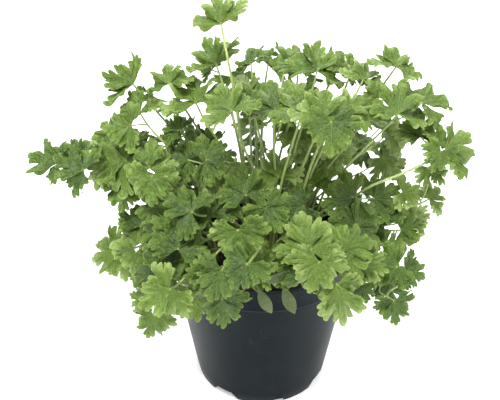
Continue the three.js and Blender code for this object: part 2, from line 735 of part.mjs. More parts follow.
function aboveGround(surface, footFrame) {
  return surface.points.every((point) => {
    const radius = Math.hypot(point.x, point.y);
    const fromFoot = Math.hypot(point.x - footFrame.centre.x, point.y - footFrame.centre.y);
    return fromFoot < footRoom || radius > rimRadius || point.z > soilHeight(radius) + soilRoom;
  });
}

// Sets a frond among those already there, leaf by leaf. Each try slips the leaf a little along the line
// of sight and turns it a little, until it is clear of everything. A side leaf that finds no place is
// left out.
const tries = 300;
const slip = 36;
const wobble = 18;
const rootShare = 0.32;
const rootWobble = 12;
const leastArch = 12;
const mostShrink = 0.2;
const seedSteps = { frond: 10000, leaf: 1000 };
const seedlingNumber = 100;

function setFrond(rows, number, placed) {
  const free = rootSpots.filter((spot) => placed.every((other) => other.root !== spot));
  const leaves = [];
  let frond = null;
  let root = null;
  let arch = 0;
  rows.forEach((row, order) => {
    let settled = order > 0 && frond === null;
    for (let attempt = 0; attempt < tries && !settled; attempt += 1) {
      const seed = seedSteps.frond * number + seedSteps.leaf * order + attempt + 1;
      const draw = random(seed);
      const ease = attempt / tries;
      const either = () => ease * (2 * draw() - 1);
      const leaf = leafFrame(row, slip * either(), () => wobble * either());
      leaf.span *= 1 - mostShrink * ease;
      leaf.seed = seed;
      if (order === 0) {
        const wanted = new THREE.Vector2(leaf.hub.x, leaf.hub.y).multiplyScalar(rootShare)
          .add(new THREE.Vector2(rootWobble * either(), rootWobble * either()));
        root = free.reduce((best, spot) => (
          spot.distanceTo(wanted) < best.distanceTo(wanted) ? spot : best));
        arch = leastArch + 2 * leastArch * ease * draw();
      }
      const { surface, footFrame } = growFrond([...leaves, leaf], root, arch);
      if (aboveGround(surface, footFrame)) {
        const geometry = surface.geometry();
        const solid = toSolid(geometry);
        if (clearOf(solid, placed) && !crossesItself(surface)) {
          leaves.push(leaf);
          frond = { geometry, solid, box: solid.boundingBox(), root, footFrame, leaves };
          settled = true;
        }
      }
    }
  });
  return frond;
}

// The whole, in one group

const pot = makePot();
const placed = [{ solid: pot, box: pot.boundingBox() }];
const seedling = setFrond(seedlingRows, seedlingNumber, placed);
placed.push(seedling);
const fronds = [];
frondRows.forEach((rows, number) => {
  const frond = setFrond(rows, number, placed);
  if (frond) {
    placed.push(frond);
    fronds.push(frond);
  }
});

function holeTool({ centre, a, b }) {
  const width = 2 * (petioleHalfWidth.foot + clearance);
  const height = holeDepth + clearance + holeHeadroom;
  const geometry = new THREE.BoxGeometry(width, width, height);
  geometry.translate(0, 0, height / 2 - clearance);
  geometry.applyMatrix4(new THREE.Matrix4().makeBasis(a, b, up).setPosition(centre));
  return toSolid(weld(geometry));
}

let soil = makeSoil();
placed.filter((piece) => piece.footFrame).forEach((piece) => {
  soil = soil.subtract(holeTool(piece.footFrame));
});

const plastic = new THREE.MeshStandardMaterial({ color: 0x2f383d, roughness: 0.5, metalness: 0 });
const earth = new THREE.MeshStandardMaterial({ color: 0x1c1512, roughness: 0.95, metalness: 0 });
const leafGreen = new THREE.MeshStandardMaterial({ color: 0x5f8a35, roughness: 0.6, metalness: 0 });
const paleGreen = new THREE.MeshStandardMaterial({ color: 0x7f9a55, roughness: 0.6, metalness: 0 });

const part = new THREE.Group();

function addPiece(name, geometry, material) {
  const mesh = new THREE.Mesh(geometry, material);
  mesh.name = name;
  part.add(mesh);
}

addPiece('pot', toGeometry(pot), plastic);
addPiece('soil', toGeometry(soil), earth);
addPiece('seedling', seedling.geometry, paleGreen);
fronds.forEach((frond, i) => {
  addPiece(`frond_${String(i + 1).padStart(2, '0')}`, frond.geometry, leafGreen);
});

// The origin lies under the middle of the whole, on the surface that the pot stands on
const middle = new THREE.Box3().setFromObject(part).getCenter(new THREE.Vector3());
part.position.set(-middle.x, -middle.y, 0);

export default part;
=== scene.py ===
import math
import random
from itertools import combinations

import bmesh
import bpy
import numpy as np
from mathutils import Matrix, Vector, noise


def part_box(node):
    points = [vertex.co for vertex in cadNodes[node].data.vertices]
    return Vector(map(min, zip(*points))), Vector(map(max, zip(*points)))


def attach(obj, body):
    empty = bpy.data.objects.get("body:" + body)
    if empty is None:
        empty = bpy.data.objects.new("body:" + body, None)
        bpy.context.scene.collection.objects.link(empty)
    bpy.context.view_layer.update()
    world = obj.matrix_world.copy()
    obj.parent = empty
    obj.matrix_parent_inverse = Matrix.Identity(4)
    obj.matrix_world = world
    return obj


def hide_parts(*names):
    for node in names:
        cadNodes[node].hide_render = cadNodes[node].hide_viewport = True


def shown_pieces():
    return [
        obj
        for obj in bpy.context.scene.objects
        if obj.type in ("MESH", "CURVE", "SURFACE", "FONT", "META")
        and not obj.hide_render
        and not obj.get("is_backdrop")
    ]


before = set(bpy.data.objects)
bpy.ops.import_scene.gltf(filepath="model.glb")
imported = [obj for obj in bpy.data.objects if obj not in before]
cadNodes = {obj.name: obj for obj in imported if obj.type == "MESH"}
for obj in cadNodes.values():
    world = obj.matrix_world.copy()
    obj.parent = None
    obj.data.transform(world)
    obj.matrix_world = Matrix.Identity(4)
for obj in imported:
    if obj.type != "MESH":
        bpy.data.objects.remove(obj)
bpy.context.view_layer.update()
print("frame loaded:", len(cadNodes), "nodes")

mm = 0.001
potLow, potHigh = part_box("pot")
potAxis = Vector(((potLow.x + potHigh.x) / 2, (potLow.y + potHigh.y) / 2, 0))
view = {
    "place": potAxis + Vector((-7.6, -305, 275)) * mm,
    "pitch": math.radians(26.5),
    "focal": 560,
    "width": 500,
    "height": 400,
    "sensor": 36,
}


# Helpers

def activate(obj):
    bpy.ops.object.select_all(action="DESELECT")
    obj.select_set(True)
    bpy.context.view_layer.objects.active = obj


def applyModifier(obj, kind, **settings):
    activate(obj)
    modifier = obj.modifiers.new(kind.title(), kind)
    for name, value in settings.items():
        setattr(modifier, name, value)
    bpy.ops.object.modifier_apply(modifier=modifier.name)


def joined(objects, name):
    bpy.ops.object.select_all(action="DESELECT")
    for obj in objects:
        obj.select_set(True)
    bpy.context.view_layer.objects.active = objects[0]
    bpy.ops.object.join()
    objects[0].name = name
    objects[0].data.name = name
    return objects[0]


def readPoints(mesh):
    points = np.empty(len(mesh.vertices) * 3)
    mesh.vertices.foreach_get("co", points)
    return points.reshape(-1, 3)


def writePoints(mesh, points):
    mesh.vertices.foreach_set("co", points.ravel())
    mesh.update()


def setTone(mesh, tone):
    layer = mesh.attributes.get("tone") or mesh.attributes.new("tone", "FLOAT", "POINT")
    layer.data.foreach_set("value", [tone] * len(mesh.vertices))


def giveMaterials(mesh, materials):
    mesh.materials.clear()
    for material in materials:
        mesh.materials.append(material)


# A colour as seen on screen, 0 to 255, made linear
def linear(red, green, blue):
    shares = [channel / 255 for channel in (red, green, blue)]
    return tuple(s / 12.92 if s < 0.04 else ((s + 0.055) / 1.055) ** 2.4 for s in shares) + (1,)


# Material nodes

class Nodes:
    def __init__(self, name):
        self.material = bpy.data.materials.new(name)
        self.material.use_nodes = True
        self.tree = self.material.node_tree
        self.shader = self.tree.nodes["Principled BSDF"]

    def fill(self, socket, value):
        if isinstance(value, bpy.types.NodeSocket):
            self.tree.links.new(value, socket)
        else:
            socket.default_value = value

    def add(self, kind, inputs=None, **settings):
        node = self.tree.nodes.new("ShaderNode" + kind)
        for name, value in settings.items():
            setattr(node, name, value)
        for name, value in (inputs or {}).items():
            self.fill(node.inputs[name], value)
        return node

    def math(self, operation, *values):
        node = self.add("Math", operation=operation)
        for socket, value in zip(node.inputs, values):
            self.fill(socket, value)
        return node.outputs[0]

    def between(self, value, low, high):
        node = self.add("MapRange", {"Value": value, "From Min": low, "From Max": high})
        node.interpolation_type = "SMOOTHSTEP"
        return node.outputs["Result"]

    def scaled(self, value, low, high):
        node = self.add("MapRange", {"Value": value, "To Min": low, "To Max": high})
        return node.outputs["Result"]

    def blend(self, share, first, second):
        node = self.add("Mix", data_type="RGBA")
        self.fill(node.inputs["Factor"], share)
        self.fill(node.inputs["A"], first)
        self.fill(node.inputs["B"], second)
        return node.outputs["Result"]

    def ramp(self, value, stops):
        node = self.add("ValToRGB", {"Fac": value})
        elements = node.color_ramp.elements
        while len(elements) < len(stops):
            elements.new(0.5)
        for element, (place, colour) in zip(elements, stops):
            element.position = place
            element.color = colour
        return node.outputs["Color"]

    def noise(self, scale, detail=3, stretch=(1, 1, 1)):
        place = self.add("TexCoord").outputs["Object"]
        if stretch != (1, 1, 1):
            place = self.add("Mapping", {"Vector": place, "Scale": stretch}).outputs[0]
        return self.add("TexNoise", {"Vector": place, "Scale": scale, "Detail": detail}).outputs["Fac"]

    def shade(self, inputs):
        for name, value in inputs.items():
            self.fill(self.shader.inputs[name], value)

    def finish(self, colour, roughness, height, depth):
        bump = self.add("Bump", {"Height": height, "Distance": depth})
        self.shade({"Base Color": colour, "Roughness": roughness, "Normal": bump.outputs[0]})
        return self.material


# Leaf materials: veins fan out from the stalk to the teeth, on the leaflet's own UV map

veinLook = {
    "teeth": 4.5,
    "sideVein": 3,
    "mainWidth": (0.012, 0.05),
    "fineWidth": (0.006, 0.04),
    "fineStart": (0.34, 0.55),
    "edge": (0.95, 0.99),
    "waver": 0.14,
    "waverScale": 260,
    "fineShare": 0.35,
    "netScale": 700,
    "netWidth": (0.02, 0.16),
}
leafLook = {
    "patchScale": 120,
    "patchTone": (-0.22, 0.24),
    # painted light and shade: darker towards the leaflet's base, lighter towards its margin
    "marginStart": 0.4,
    "marginShading": (-0.08, 0.15),
    "netShare": 0.1,
    "edgeShare": 0.15,
    "puckerScale": 220,
    "pucker": 2.6,
    "veinDent": -0.4,
    "netDent": -0.15,
    "bump": 0.001,
    "sheenScale": 380,
    "sheenStray": (-0.08, 0.1),
    "shader": {
        "Specular IOR Level": 0.24,
        "Subsurface Weight": 0.24,
        "Subsurface Radius": (0.7, 1, 0.3),
        "Subsurface Scale": 1.2 * mm,
    },
}


def leafMaterial(name, shades, veinColour, edgeColour, veinShare, roughness, midribOnly=False):
    nodes = Nodes(name)
    spread = nodes.add("SeparateXYZ", {"Vector": nodes.add("UVMap", uv_map="leaf").outputs[0]})
    side = nodes.math("ABSOLUTE", nodes.math("MULTIPLY_ADD", spread.outputs["X"], 2, -1))
    reach = spread.outputs["Y"]
    waver = nodes.scaled(nodes.noise(veinLook["waverScale"]), -veinLook["waver"], veinLook["waver"])
    wavy = nodes.math("ADD", nodes.math("MULTIPLY", side, veinLook["teeth"]), waver)
    mainGap = wavy
    if not midribOnly:
        sideGap = nodes.math("ABSOLUTE", nodes.math("SUBTRACT", wavy, veinLook["sideVein"]))
        mainGap = nodes.math("MINIMUM", wavy, sideGap)
    fineGap = nodes.math("PINGPONG", wavy, 0.5)
    low, high = veinLook["mainWidth"]
    mainVein = nodes.between(nodes.math("MULTIPLY", mainGap, reach), high, low)
    low, high = veinLook["fineWidth"]
    fineVein = nodes.between(nodes.math("MULTIPLY", fineGap, reach), high, low)
    fineVein = nodes.math("MULTIPLY", fineVein, nodes.between(reach, *veinLook["fineStart"]))
    place = nodes.add("TexCoord").outputs["Object"]
    cells = nodes.add("TexVoronoi", {"Vector": place, "Scale": veinLook["netScale"]},
                      feature="DISTANCE_TO_EDGE")
    low, high = veinLook["netWidth"]
    net = nodes.between(cells.outputs["Distance"], high, low)
    veins = nodes.math("MAXIMUM", mainVein, nodes.math("MULTIPLY", fineVein, veinLook["fineShare"]))

    patches = nodes.scaled(nodes.noise(leafLook["patchScale"], 4), *leafLook["patchTone"])
    # The tone attribute carries each leaf's painted light and shade; each leaflet is also painted darker
    # near its base and lighter towards its margin
    outer = nodes.scaled(nodes.between(reach, leafLook["marginStart"], 1), *leafLook["marginShading"])
    tone = nodes.add("Attribute", attribute_name="tone").outputs["Fac"]
    tone = nodes.math("ADD", nodes.math("ADD", tone, patches), outer)
    colour = nodes.ramp(tone, shades)
    colour = nodes.blend(nodes.math("MULTIPLY", net, leafLook["netShare"]), colour, veinColour)
    colour = nodes.blend(nodes.math("MULTIPLY", veins, veinShare), colour, veinColour)
    edge = nodes.between(reach, *veinLook["edge"])
    colour = nodes.blend(nodes.math("MULTIPLY", edge, leafLook["edgeShare"]), colour, edgeColour)

    pucker = nodes.scaled(nodes.noise(leafLook["puckerScale"], 2), 0, leafLook["pucker"])
    dents = nodes.math("ADD", nodes.math("MULTIPLY", veins, leafLook["veinDent"]),
                       nodes.math("MULTIPLY", net, leafLook["netDent"]))
    low, high = leafLook["sheenStray"]
    sheen = nodes.scaled(nodes.noise(leafLook["sheenScale"]), roughness + low, roughness + high)
    nodes.shade(leafLook["shader"])
    return nodes.finish(colour, sheen, nodes.math("ADD", dents, pucker), leafLook["bump"])


# The lightest stop is pale and whitish, a painted highlight on the lightest tones
leafTop = leafMaterial(
    "parsley leaf",
    [(0, linear(38, 61, 23)), (0.45, linear(77, 101, 32)), (1, linear(166, 182, 119))],
    veinColour=linear(158, 180, 84), edgeColour=linear(180, 198, 108), veinShare=0.18, roughness=0.36)
leafUnder = leafMaterial(
    "parsley leaf underside",
    [(0, linear(58, 84, 34)), (0.45, linear(108, 134, 62)), (1, linear(150, 172, 92))],
    veinColour=linear(166, 184, 112), edgeColour=linear(172, 190, 114), veinShare=0.4, roughness=0.6)
seedLeaf = leafMaterial(
    "seedling leaf",
    [(0, linear(46, 56, 30)), (0.45, linear(72, 85, 46)), (1, linear(104, 118, 70))],
    veinColour=linear(110, 124, 78), edgeColour=linear(124, 138, 88), veinShare=0.4, roughness=0.55,
    midribOnly=True)

stalkLook = {
    "streakScale": 900,
    "streakStretch": (1, 1, 0.06),
    "streakShare": 0.6,
    "patchScale": 60,
    "shades": [(0.3, linear(104, 126, 58)), (0.5, linear(132, 150, 84)), (0.7, linear(164, 178, 116))],
    "roughness": (0.35, 0.55),
    "bump": 0.0003,
}


def stalkMaterial():
    nodes = Nodes("parsley stalk")
    streaks = nodes.noise(stalkLook["streakScale"], 2, stalkLook["streakStretch"])
    patches = nodes.noise(stalkLook["patchScale"])
    tone = nodes.math("ADD", nodes.math("MULTIPLY", streaks, stalkLook["streakShare"]),
                      nodes.math("MULTIPLY", patches, 1 - stalkLook["streakShare"]))
    roughness = nodes.scaled(streaks, *stalkLook["roughness"])
    return nodes.finish(nodes.ramp(tone, stalkLook["shades"]), roughness, streaks, stalkLook["bump"])


stalk = stalkMaterial()
print("leaf materials made")


# Leaflets: a grid bent into a fan about the blade's base at (0, 0), x across and y along, with its full
# reach as the unit. The stalk end lies behind the base.

leaflet = {
    "halfAngle": math.radians(94),
    "stalkEnd": -0.56,
    "bladeStart": -0.53,
    "stalkHalfWidth": 0.06,
    # from the stalk's end over the blade's start to the margin
    "rows": [0, 0.12, 0.4, 0.64, 0.84, 1],
    "thickness": 0.032,
    # round teeth from the middle outwards: start and end as shares of the half angle, and reach. The
    # first one beside the middle tooth belongs to the middle lobe, and the others to the side lobe.
    "middleTooth": (-0.11, 0.11, 1.04),
    "sideTeeth": [(0.12, 0.3, 0.93), (0.43, 0.6, 0.92), (0.61, 0.8, 0.96), (0.81, 0.98, 0.84)],
    "firstOfSideLobe": 2,
    "toothSpots": (-0.85, -0.35, 0.35, 0.85),
    "middleSpots": (-0.9, -0.5, 0, 0.5, 0.9),
    "toothVeinHalf": 0.42,
    "roundness": 0.2,
    "notch": 0.86,
    "cleftPlace": 0.37,
    "cleft": 0.3,
    "cornerReach": 0.6,
    "lobeSpacing": 0.72,
    "lobeWave": 0.17,
    "toothSpacing": 0.42,
    "toothWave": 0.05,
    "tipCurl": 0.12,
    "flapStart": 0.45,
    "flap": 0.34,
    "swell": 0.32,
    "swellScale": 2.4,
    "swellRise": 1.5,
    "smoothAngle": math.radians(60),
    # how far each shape strays from the rule
    "toothStray": (-0.06, 0.04),
    "notchStray": (-0.05, 0.03),
    "cleftStray": (-0.1, 0.12),
    "cleftPlaceStray": 0.01,
    "lobeStray": (0.5, 1.4),
    "curlStray": (0.2, 1.6),
}
lobedVariants = 10

# A seed leaf: a thin stalk and a pointed blade without teeth, in the same units
seedForm = {
    "rows": 14,
    "columns": 5,
    "stalkShare": 0.16,
    "stalkHalfWidth": 0.035,
    "halfWidth": 0.24,
    "tip": 1.14,
    "fullest": 0.9,
    "blunt": 0.9,
    "trough": 0.12,
}


# A rounded tooth as (angle share, reach, vein number) points
def tooth(start, end, reach, number, spots):
    middle = (start + end) / 2
    half = (end - start) / 2
    bulge = leaflet["roundness"]
    return [(middle + spot * half, reach * (1 - bulge + bulge * math.sqrt(1 - spot ** 2)),
             number + spot * leaflet["toothVeinHalf"]) for spot in spots]


# One half of the margin, from the middle outwards
def halfMargin(draw):
    margin = []
    lastReach = leaflet["middleTooth"][2]
    lastEnd = leaflet["middleTooth"][1]
    for number, (start, end, reach) in enumerate(leaflet["sideTeeth"], 1):
        reach *= 1 + draw.uniform(*leaflet["toothStray"])
        depth = leaflet["notch"] + draw.uniform(*leaflet["notchStray"])
        place = (lastEnd + start) / 2
        if number == leaflet["firstOfSideLobe"]:
            stray = leaflet["cleftPlaceStray"]
            depth = leaflet["cleft"] + draw.uniform(*leaflet["cleftStray"])
            place = leaflet["cleftPlace"] + draw.uniform(-stray, stray)
        margin.append((place, min(lastReach, reach) * depth, number - 0.5))
        margin += tooth(start, end, reach, number, leaflet["toothSpots"])
        lastReach, lastEnd = reach, end
    margin.append((1, leaflet["cornerReach"], veinLook["teeth"]))
    return margin


def lobedMargin(draw):
    left = [(-angle, reach, -number) for angle, reach, number in reversed(halfMargin(draw))]
    start, end, reach = leaflet["middleTooth"]
    return left + tooth(start, end, reach, 0, leaflet["middleSpots"]) + halfMargin(draw)


# Bends the flat fan: lobes arched between their clefts and swollen unevenly, margins ruffled, tips
# curled under
def lobedRelief(x, y, angles, draw):
    side = np.abs(angles)
    out = np.hypot(x, np.maximum(y, 0))
    flaps = np.where(angles > 0, draw.uniform(-1, 1), draw.uniform(-1, 1)) * leaflet["flap"]
    arch = leaflet["lobeWave"] * draw.uniform(*leaflet["lobeStray"])
    lobes = arch * np.cos(2 * np.pi * side / leaflet["lobeSpacing"])
    phase = draw.uniform(0, 6)
    ruffle = leaflet["toothWave"] * np.cos(2 * np.pi * angles / leaflet["toothSpacing"] + phase)
    curl = leaflet["tipCurl"] * draw.uniform(*leaflet["curlStray"])
    start = draw.uniform(0, 50)
    fine = leaflet["swellScale"]
    spots = [Vector((start + px * fine, py * fine, start)) for px, py in zip(x, y)]
    swell = leaflet["swell"] * np.array([noise.noise(spot) for spot in spots])
    return ((lobes + flaps * np.maximum(0, side - leaflet["flapStart"])) * out ** 2
            + swell * np.minimum(1, leaflet["swellRise"] * out) + ruffle * out ** 6 - curl * out ** 5)


def lobedPoints(share, angles, reaches, draw):
    rows = leaflet["rows"]
    start, begin = leaflet["stalkEnd"], leaflet["bladeStart"]
    across = reaches * np.sin(angles * leaflet["halfAngle"])
    along = reaches * np.cos(angles * leaflet["halfAngle"])
    stalkShare = np.minimum(share / rows[1], 1)
    share = np.maximum(share - rows[1], 0) / (1 - rows[1])
    x = across * share + leaflet["stalkHalfWidth"] * angles * (1 - share)
    y = start + (begin - start) * stalkShare + (along - begin) * share
    return np.stack([x, y, lobedRelief(x, y, angles, draw)], 1), share


def oblongPoints(share, angles):
    start = leaflet["stalkEnd"]
    bladeShare = np.clip((share - seedForm["stalkShare"]) / (1 - seedForm["stalkShare"]), 0, 1)
    swell = np.sin(np.pi * bladeShare ** seedForm["fullest"]) ** seedForm["blunt"]
    stalkWidth = seedForm["stalkHalfWidth"] * (bladeShare < 0.5)
    x = angles * np.maximum(seedForm["halfWidth"] * swell, stalkWidth)
    y = start + (seedForm["tip"] - start) * share
    return np.stack([x, y, seedForm["trough"] * np.abs(x)], 1)


def makeLeaflet(name, style, draw, materials):
    if style == "lobed":
        rows = leaflet["rows"]
        margin = lobedMargin(draw)
    else:
        rows = [i / seedForm["rows"] for i in range(seedForm["rows"] + 1)]
        half = seedForm["columns"]
        margin = [(i / half, 1, i / half) for i in range(-half, half + 1)]
    bpy.ops.mesh.primitive_grid_add(x_subdivisions=len(margin) - 1, y_subdivisions=len(rows) - 1, size=1)
    blade = bpy.context.object
    blade.name = name
    mesh = blade.data
    points = readPoints(mesh)
    columns = np.rint((points[:, 0] + 0.5) * (len(margin) - 1)).astype(int)
    levels = np.rint((points[:, 1] + 0.5) * (len(rows) - 1)).astype(int)
    share = np.array(rows)[levels]
    angles, reaches, numbers = (np.array(values)[columns] for values in zip(*margin))
    if style == "lobed":
        points, share = lobedPoints(share, angles, reaches, draw)
        numbers = numbers / veinLook["teeth"]
    else:
        points = oblongPoints(share, angles)
    writePoints(mesh, points)

    mesh.uv_layers[0].name = "leaf"
    vertexOf = np.empty(len(mesh.loops), int)
    mesh.loops.foreach_get("vertex_index", vertexOf)
    places = np.stack([(numbers[vertexOf] + 1) / 2, share[vertexOf]], 1)
    mesh.uv_layers[0].data.foreach_set("uv", places.ravel())
    giveMaterials(mesh, materials)
    applyModifier(blade, "SOLIDIFY", thickness=leaflet["thickness"], offset=0, material_offset=1,
                  use_even_offset=False)
    bpy.ops.object.shade_smooth_by_angle(angle=leaflet["smoothAngle"])
    blade.hide_render = True
    return blade


draw = random.Random(7)
leafMaterials = [leafTop, leafUnder, stalk]
variants = {
    "lobed": [makeLeaflet(f"leaflet shape {i}", "lobed", draw, leafMaterials)
              for i in range(lobedVariants)],
    "oblong": [makeLeaflet("seed leaf shape", "oblong", draw, [seedLeaf])],
}
print("leaflet shapes made")


# Reading a frond: where its blades and stalks lie in the solid

reading = {
    "weld": 0.02 * mm,
    "bladeThickness": 0.8 * mm,
    "tolerance": 0.03 * mm,
    "ringEdge": 2.05 * mm,
    "facing": Vector((0, -0.6, 0.8)),
    # by the number of edges that meet at the blade's base
    "styles": {11: "lobed", 9: "oblong"},
}


def welded(name):
    solid = bmesh.new()
    solid.from_mesh(cadNodes[name].data)
    bmesh.ops.remove_doubles(solid, verts=solid.verts, dist=reading["weld"])
    solid.verts.ensure_lookup_table()
    return solid


# The vertices about a vertex, counter-clockwise seen from outside
def ringAround(vertex):
    after = {}
    for loop in vertex.link_loops:
        after[loop.link_loop_next.vert] = loop.link_loop_prev.vert
    ring = [next(iter(after))]
    while after.get(ring[-1]) not in (None, ring[0]):
        ring.append(after[ring[-1]])
    return ring


def near(point, others):
    return any((point - other).length < reading["tolerance"] for other in others)


def readFan(top, bottom, style):
    offset = top.co - bottom.co
    below = [vertex.co for vertex in ringAround(bottom)]
    ring = ringAround(top)
    paired = [near(vertex.co - offset, below) for vertex in ring]
    if paired.count(False) != 2:
        return None
    first = next(i for i in range(len(ring)) if not paired[i] and not paired[i - 1])
    ring = ring[first:] + ring[:first]
    outline = ring[1:-1]
    above = [vertex.co for vertex in outline]
    mouthTop = [ring[0], ring[-1]]
    mouthBottom = [v for v in ringAround(bottom) if not near(v.co + offset, above)]
    normal = offset.normalized()
    lifts = [(point - top.co).dot(normal) for point in above]
    flats = [point - top.co - lift * normal for point, lift in zip(above, lifts)]
    forward = (flats[0].normalized() + flats[-1].normalized()).normalized()
    left = normal.cross(forward)
    middle = len(flats) // 2
    reach = flats[middle].length
    droop = -lifts[middle] / reach
    folds = [(lifts[i] + droop * flats[i].length_squared / reach) / abs(flats[i].dot(left))
             for i in (0, -1)]
    mouth = sum((v.co for v in mouthTop + mouthBottom), Vector()) / 4
    rimBelow = [v for v in ringAround(bottom) if v not in mouthBottom]
    return {
        "style": style,
        "base": (top.co + bottom.co) / 2,
        "forward": forward,
        "left": left,
        "normal": normal,
        "reach": reach,
        "halfAngle": flats[-1].angle(forward),
        "droop": droop,
        "fold": sum(folds) / 2,
        "mouth": mouth,
        "mouthVertex": mouthTop[0],
        "blade": set(outline + rimBelow + [top, bottom]),
    }


def readFans(solid):
    fans = []
    for valence, style in reading["styles"].items():
        bases = [vertex for vertex in solid.verts if len(vertex.link_edges) == valence]
        for one, other in combinations(bases, 2):
            offset = one.co - other.co
            gap = abs(offset.length - reading["bladeThickness"])
            if gap < reading["tolerance"] and not any(e.other_vert(one) == other for e in one.link_edges):
                top, bottom = (one, other) if offset.dot(reading["facing"]) > 0 else (other, one)
                fan = readFan(top, bottom, style)
                if fan:
                    fans.append(fan)
    return fans


# The stalk's rings and hubs are the knots of a tree. Each is given as its centre, with the knot it
# grows from.
def readStalks(solid, fans):
    blade = set().union(*[fan["blade"] for fan in fans])
    knotOf = {}
    knots = []
    for vertex in solid.verts:
        if vertex in blade or vertex in knotOf:
            continue
        members = [vertex]
        knotOf[vertex] = len(knots)
        for member in members:
            for edge in member.link_edges:
                other = edge.other_vert(member)
                if other not in blade and other not in knotOf and edge.calc_length() < reading["ringEdge"]:
                    knotOf[other] = len(knots)
                    members.append(other)
        knots.append(members)
    centres = [sum((v.co for v in members), Vector()) / len(members) for members in knots]
    root = min(range(len(knots)), key=lambda knot: centres[knot].z)
    parent = {root: None}
    queue = [root]
    for knot in queue:
        for vertex in knots[knot]:
            for edge in vertex.link_edges:
                other = knotOf.get(edge.other_vert(vertex))
                if other is not None and other not in parent:
                    parent[other] = knot
                    queue.append(other)
    hubs = [knotOf[fan["mouthVertex"]] for fan in fans]
    return centres, parent, hubs


# Stalks: round curves through the knots, thinner upwards

stalkForm = {
    "foot": 0.95 * mm,
    "top": 0.55 * mm,
    "branch": 0.48 * mm,
    "smooth": 5,
    "sides": 2,
    "tone": 0.5,
}


def makeStalks(paths):
    bpy.ops.curve.primitive_bezier_curve_add()
    obj = bpy.context.object
    curve = obj.data
    curve.dimensions = "3D"
    curve.splines.clear()
    curve.bevel_depth = mm
    curve.bevel_resolution = stalkForm["sides"]
    curve.resolution_u = stalkForm["smooth"]
    curve.use_fill_caps = True
    for path in paths:
        spline = curve.splines.new("BEZIER")
        spline.bezier_points.add(len(path) - 1)
        for point, (place, radius) in zip(spline.bezier_points, path):
            point.co = place
            point.radius = radius / mm
            point.handle_left_type = "AUTO"
            point.handle_right_type = "AUTO"
    obj.matrix_world.identity()
    activate(obj)
    bpy.ops.object.convert(target="MESH")
    bpy.ops.object.shade_smooth()
    mesh = obj.data
    giveMaterials(mesh, leafMaterials)
    mesh.polygons.foreach_set("material_index", [leafMaterials.index(stalk)] * len(mesh.polygons))
    setTone(mesh, stalkForm["tone"])
    return obj


def stalkPaths(centres, parent, hubs):
    chains = []
    for hub in sorted(set(hubs)):
        chain = [hub]
        while parent[chain[-1]] is not None:
            chain.append(parent[chain[-1]])
        chains.append(chain[::-1])
    chains.sort(key=len)
    drawn = set()
    paths = []
    for chain in chains:
        fresh = [i for i, knot in enumerate(chain) if knot not in drawn]
        if not fresh:
            continue
        start = max(fresh[0] - 1, 0)
        part = chain[start:]
        foot, top = (stalkForm["foot"], stalkForm["top"]) if start == 0 else (stalkForm["branch"],) * 2
        path = []
        for i, knot in enumerate(part):
            share = i / max(len(part) - 1, 1)
            path.append((centres[knot], foot + (top - foot) * share))
        paths.append(path)
        drawn.update(part)
    return paths


# One leaflet laid over its blade in the solid

bladeForm = {"crease": 0.06, "solidHalfAngle": math.radians(70), "size": 0.95}


def layLeaflet(fan, variant, tone):
    leaf = variant.copy()
    leaf.data = variant.data.copy()
    leaf.hide_render = False
    bpy.context.collection.objects.link(leaf)
    points = readPoints(leaf.data)
    reach = fan["reach"]
    lobed = fan["style"] == "lobed"
    widen = math.sin(fan["halfAngle"]) / math.sin(bladeForm["solidHalfAngle"]) if lobed else 1
    size = bladeForm["size"] if lobed else 1
    across = points[:, 0] * reach * widen * size
    along = points[:, 1] * reach * size
    crease = bladeForm["crease"] * reach
    folded = fan["fold"] * (np.sqrt(across ** 2 + crease ** 2) - crease)
    outer = np.maximum(along, 0) ** 2 + across ** 2
    height = points[:, 2] * reach + folded - fan["droop"] * outer / reach
    axes = np.array([fan["left"], fan["forward"], fan["normal"]])
    place = np.stack([across, along, height], 1) @ axes + np.array(fan["base"])
    stalkEnd = leaflet["stalkEnd"] * reach * size
    share = np.clip(along / stalkEnd, 0, 1)[:, None] ** 2
    foot = np.array(fan["mouth"] - fan["base"] - fan["forward"] * stalkEnd)
    place += share * foot
    writePoints(leaf.data, place)
    setTone(leaf.data, tone)
    return leaf


# How light a frond's leaves are, as painted light and shade: painted shade makes them darker towards
# the plant's middle, but for the numbered fronds, whose groups have a painted light or shade tone of their
# own

canopy = {
    "centre": potAxis + Vector((-3, 0, 130)) * mm,
    "radius": 112 * mm,
    "middleShadeTone": 0.13,
    "outward": 0.3,
    "scatter": 0.1,
    "jitter": 0.06,
    # painted light and shade: each group's tone paints how brightly those fronds are lit
    "lit": (0.39, {1, 2, 3, 4, 5, 6, 10, 16, 18, 26, 36, 39, 40}),
    "halfLit": (0.23, {29, 30, 31, 32, 41, 52}),
    "shaded": (0.11, {7, 8, 9, 11, 12, 13, 15, 22, 45, 46, 47}),
    "back": (0.3, {53, 54, 55, 56, 57}),
}


# Painted shade: the tone is lowest in the plant's middle and grows outwards, with some random scatter
def shadeToneAt(place, draw):
    outward = (place - canopy["centre"]).length / canopy["radius"]
    tone = canopy["middleShadeTone"] + canopy["outward"] * outward
    return tone + draw.uniform(-1, 1) * canopy["scatter"]


def frondLightTone(name, place, draw):
    for group in ("lit", "halfLit", "shaded", "back"):
        tone, numbers = canopy[group]
        if name in [f"frond_{number:02d}" for number in numbers]:
            return tone + draw.uniform(-1, 1) * canopy["jitter"]
    return shadeToneAt(place, draw)


